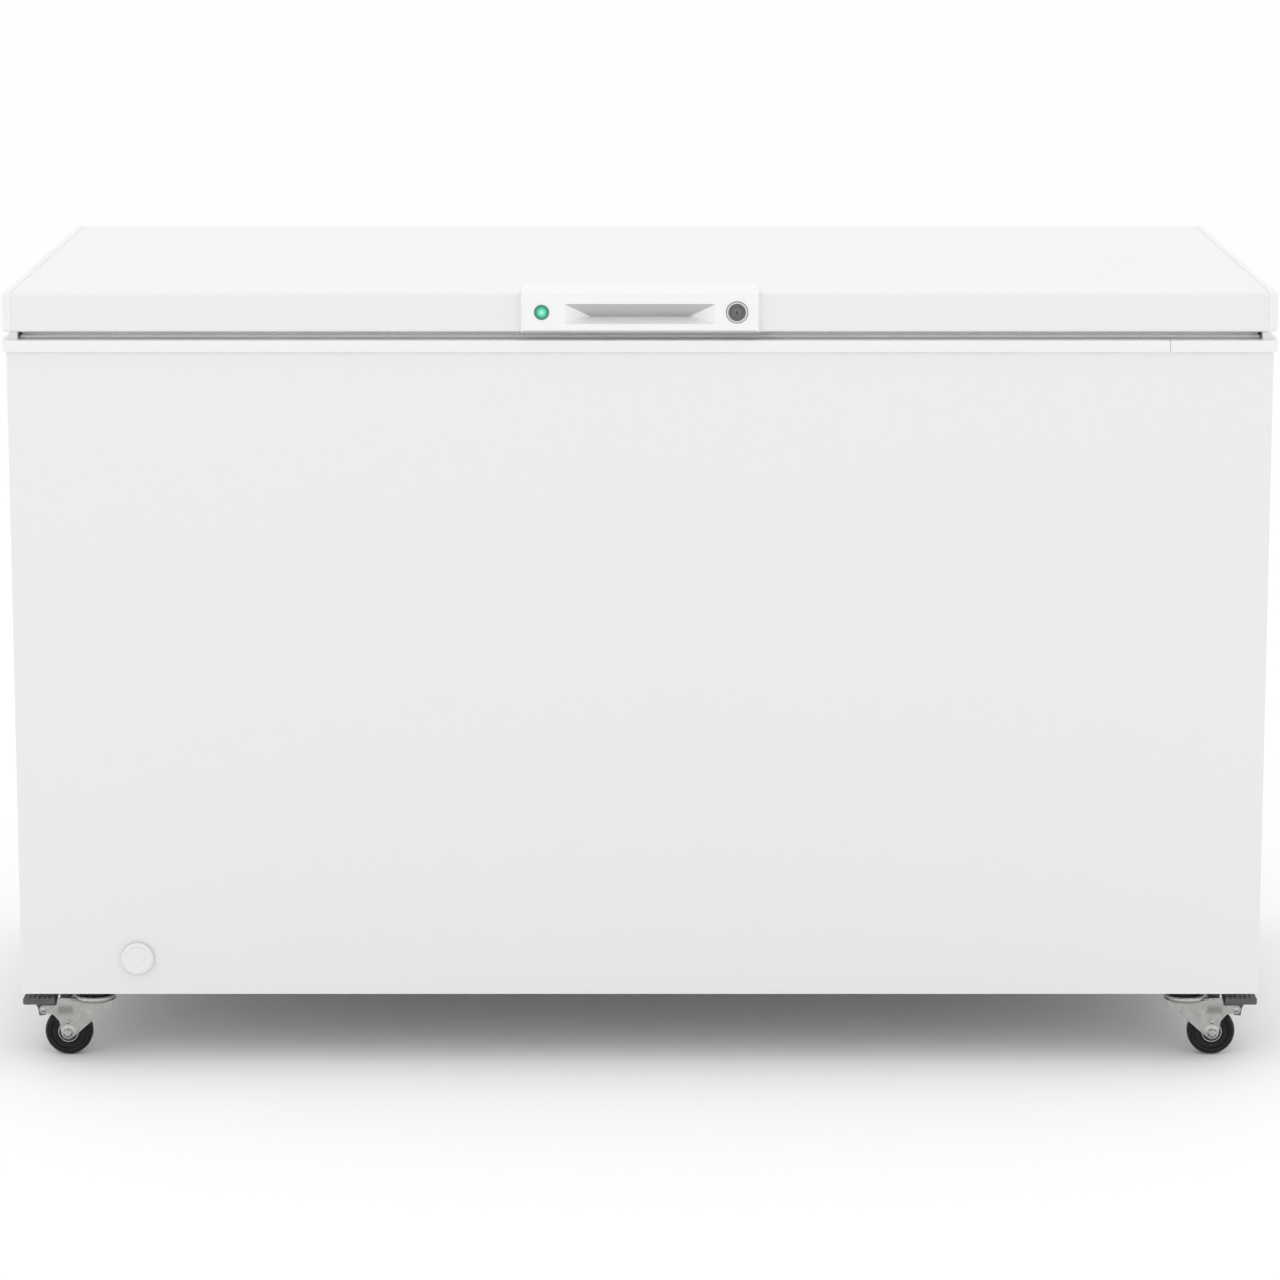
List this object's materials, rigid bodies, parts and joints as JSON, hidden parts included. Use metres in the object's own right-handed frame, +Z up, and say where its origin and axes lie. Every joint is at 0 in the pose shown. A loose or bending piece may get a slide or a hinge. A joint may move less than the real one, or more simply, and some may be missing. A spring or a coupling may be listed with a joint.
{
  "type": "chest freezer",
  "caption": "Long white chest freezer with a hinged lid, centre handle with lock and lamp, wire baskets and swivel casters.",
  "frame": {"origin": "on the floor, under the middle of the whole object's box", "axes": "+X to the right seen from the front, -Y to the front, +Z up"},
  "size_m": [1.55, 0.7542, 0.972],
  "materials": {
    "white_enamel": "smooth white stove enamel",
    "rear_enamel": "satin off-white enamel",
    "galvanised_steel": "dull galvanised",
    "liner_aluminium": "stucco-embossed, satin",
    "insulating_foam": "rigid cellular foam",
    "collar_plastic": "semi-gloss moulded white",
    "lid_cap_plastic": "semi-gloss moulded white",
    "liner_plastic": "satin vacuum-formed white",
    "gasket_vinyl": "soft matt light grey",
    "handle_plastic": "fine satin moulded white",
    "indicator_green": "translucent green",
    "lock_chrome": "polished",
    "lock_steel": "turned face",
    "zinc_steel": "bright zinc plate",
    "spring_steel": "oiled spring wire",
    "wheel_black": "moulded black",
    "pedal_plastic": "ribbed dark grey",
    "drain_plastic": "satin moulded white",
    "tube_plastic": "milky tube",
    "black_pot": "black enamel",
    "mount_rubber": "matt",
    "relay_plastic": "matt moulded",
    "copper_tube": "drawn copper",
    "grille_plastic": "satin moulded off-white",
    "knob_plastic": "satin grey",
    "inlet_plastic": "matt black",
    "basket_wire": "white vinyl-dipped wire",
    "lamp_cover": "frosted clear",
    "hinge_cover_plastic": "satin moulded white"
  },
  "bodies": {
    "cabinet": {"cabinet_wrapper": "white_enamel", "rear_panel": "rear_enamel", "base_pan": "galvanised_steel", "compartment_wall": "galvanised_steel", "inner_liner": "liner_aluminium", "cabinet_foam": "insulating_foam", "top_collar": "collar_plastic", "lock_strike": "galvanised_steel", "evaporator_coil": "copper_tube", "condenser_coil": "copper_tube", "compressor": "black_pot", "compressor_feet": "mount_rubber", "start_relay": "relay_plastic", "filter_drier": "copper_tube", "refrigerant_pipes": "copper_tube", "thermostat_body": "relay_plastic", "vent_grille": "grille_plastic", "compressor_cover": "rear_enamel", "power_inlet": "inlet_plastic", "drain_socket": "drain_plastic", "drain_tube": "tube_plastic", "hinge_base_leaves": "zinc_steel", "hinge_pins": "zinc_steel", "hinge_springs": "spring_steel", "hinge_covers": "hinge_cover_plastic", "cabinet_screws": "zinc_steel", "caster_plates": "zinc_steel"},
    "lid": {"lid_panel": "white_enamel", "lid_end_cap_left": "lid_cap_plastic", "lid_end_cap_right": "lid_cap_plastic", "lid_foam": "insulating_foam", "lid_liner": "liner_plastic", "lid_gasket": "gasket_vinyl", "lid_lamp": "lamp_cover", "handle_housing": "handle_plastic", "indicator_lens": "indicator_green", "lock_bezel": "lock_chrome", "hinge_lid_leaves": "zinc_steel", "lid_screws": "zinc_steel"},
    "lock": {"lock_core": "lock_steel", "lock_cam": "zinc_steel"},
    "left_basket": {"basket_left": "basket_wire"},
    "right_basket": {"basket_right": "basket_wire"},
    "front_drain_cap": {"drain_cap": "drain_plastic"},
    "inner_drain_plug": {"drain_plug": "tube_plastic"},
    "thermostat_dial": {"thermostat_knob": "knob_plastic"},
    "fork_front_left": {"caster_fork_front_left": "zinc_steel", "caster_axle_front_left": "zinc_steel"},
    "wheel_front_left": {"caster_wheel_front_left": "wheel_black"},
    "fork_front_right": {"caster_fork_front_right": "zinc_steel", "caster_axle_front_right": "zinc_steel"},
    "wheel_front_right": {"caster_wheel_front_right": "wheel_black"},
    "fork_rear_left": {"caster_fork_rear_left": "zinc_steel", "caster_axle_rear_left": "zinc_steel"},
    "wheel_rear_left": {"caster_wheel_rear_left": "wheel_black"},
    "fork_rear_right": {"caster_fork_rear_right": "zinc_steel", "caster_axle_rear_right": "zinc_steel"},
    "wheel_rear_right": {"caster_wheel_rear_right": "wheel_black"},
    "pedal_left": {"brake_pedal_left": "pedal_plastic"},
    "pedal_right": {"brake_pedal_right": "pedal_plastic"}
  },
  "joints": [
    {"name": "lid_hinge", "type": "hinge", "parent": "cabinet", "child": "lid", "pos_m": [0, 0.3661, 0.908], "axis": [-1, 0, 0], "range_deg": [0, 85]},
    {"name": "lock_turn", "type": "hinge", "parent": "lid", "child": "lock", "pos_m": [0.1174, -0.3659, 0.9464], "axis": [0, 1, 0], "range_deg": [0, 90]},
    {"name": "left_basket_slide", "type": "slide", "parent": "cabinet", "child": "left_basket", "axis": [1, 0, 0], "range_m": [0, 0.34]},
    {"name": "right_basket_slide", "type": "slide", "parent": "cabinet", "child": "right_basket", "axis": [1, 0, 0], "range_m": [-0.34, 0]},
    {"name": "drain_cap_pull", "type": "slide", "parent": "cabinet", "child": "front_drain_cap", "axis": [0, -1, 0], "range_m": [0, 0.025]},
    {"name": "drain_plug_lift", "type": "slide", "parent": "cabinet", "child": "inner_drain_plug", "axis": [0, 0, 1], "range_m": [0, 0.03]},
    {"name": "thermostat_turn", "type": "hinge", "parent": "cabinet", "child": "thermostat_dial", "pos_m": [0.7538, 0.0171, 0.215], "axis": [1, 0, 0], "range_deg": [0, 270]},
    {"name": "swivel_front_left", "type": "hinge", "parent": "cabinet", "child": "fork_front_left", "pos_m": [-0.684, -0.3169, 0.075], "axis": [0, 0, 1], "continuous": true},
    {"name": "roll_front_left", "type": "hinge", "parent": "fork_front_left", "child": "wheel_front_left", "pos_m": [-0.717, -0.3169, 0.03], "axis": [0, 1, 0], "continuous": true},
    {"name": "swivel_front_right", "type": "hinge", "parent": "cabinet", "child": "fork_front_right", "pos_m": [0.684, -0.3169, 0.075], "axis": [0, 0, 1], "continuous": true},
    {"name": "roll_front_right", "type": "hinge", "parent": "fork_front_right", "child": "wheel_front_right", "pos_m": [0.717, -0.3169, 0.03], "axis": [0, 1, 0], "continuous": true},
    {"name": "swivel_rear_left", "type": "hinge", "parent": "cabinet", "child": "fork_rear_left", "pos_m": [-0.684, 0.3061, 0.075], "axis": [0, 0, 1], "continuous": true},
    {"name": "roll_rear_left", "type": "hinge", "parent": "fork_rear_left", "child": "wheel_rear_left", "pos_m": [-0.717, 0.3061, 0.03], "axis": [0, 1, 0], "continuous": true},
    {"name": "swivel_rear_right", "type": "hinge", "parent": "cabinet", "child": "fork_rear_right", "pos_m": [0.684, 0.3061, 0.075], "axis": [0, 0, 1], "continuous": true},
    {"name": "roll_rear_right", "type": "hinge", "parent": "fork_rear_right", "child": "wheel_rear_right", "pos_m": [0.717, 0.3061, 0.03], "axis": [0, 1, 0], "continuous": true},
    {"name": "brake_left", "type": "hinge", "parent": "fork_front_left", "child": "pedal_left", "pos_m": [-0.74677, -0.3169, 0.06061], "axis": [0, -1, 0], "range_deg": [0, 10]},
    {"name": "brake_right", "type": "hinge", "parent": "fork_front_right", "child": "pedal_right", "pos_m": [0.74677, -0.3169, 0.06061], "axis": [0, 1, 0], "range_deg": [0, 10]}
  ]
}
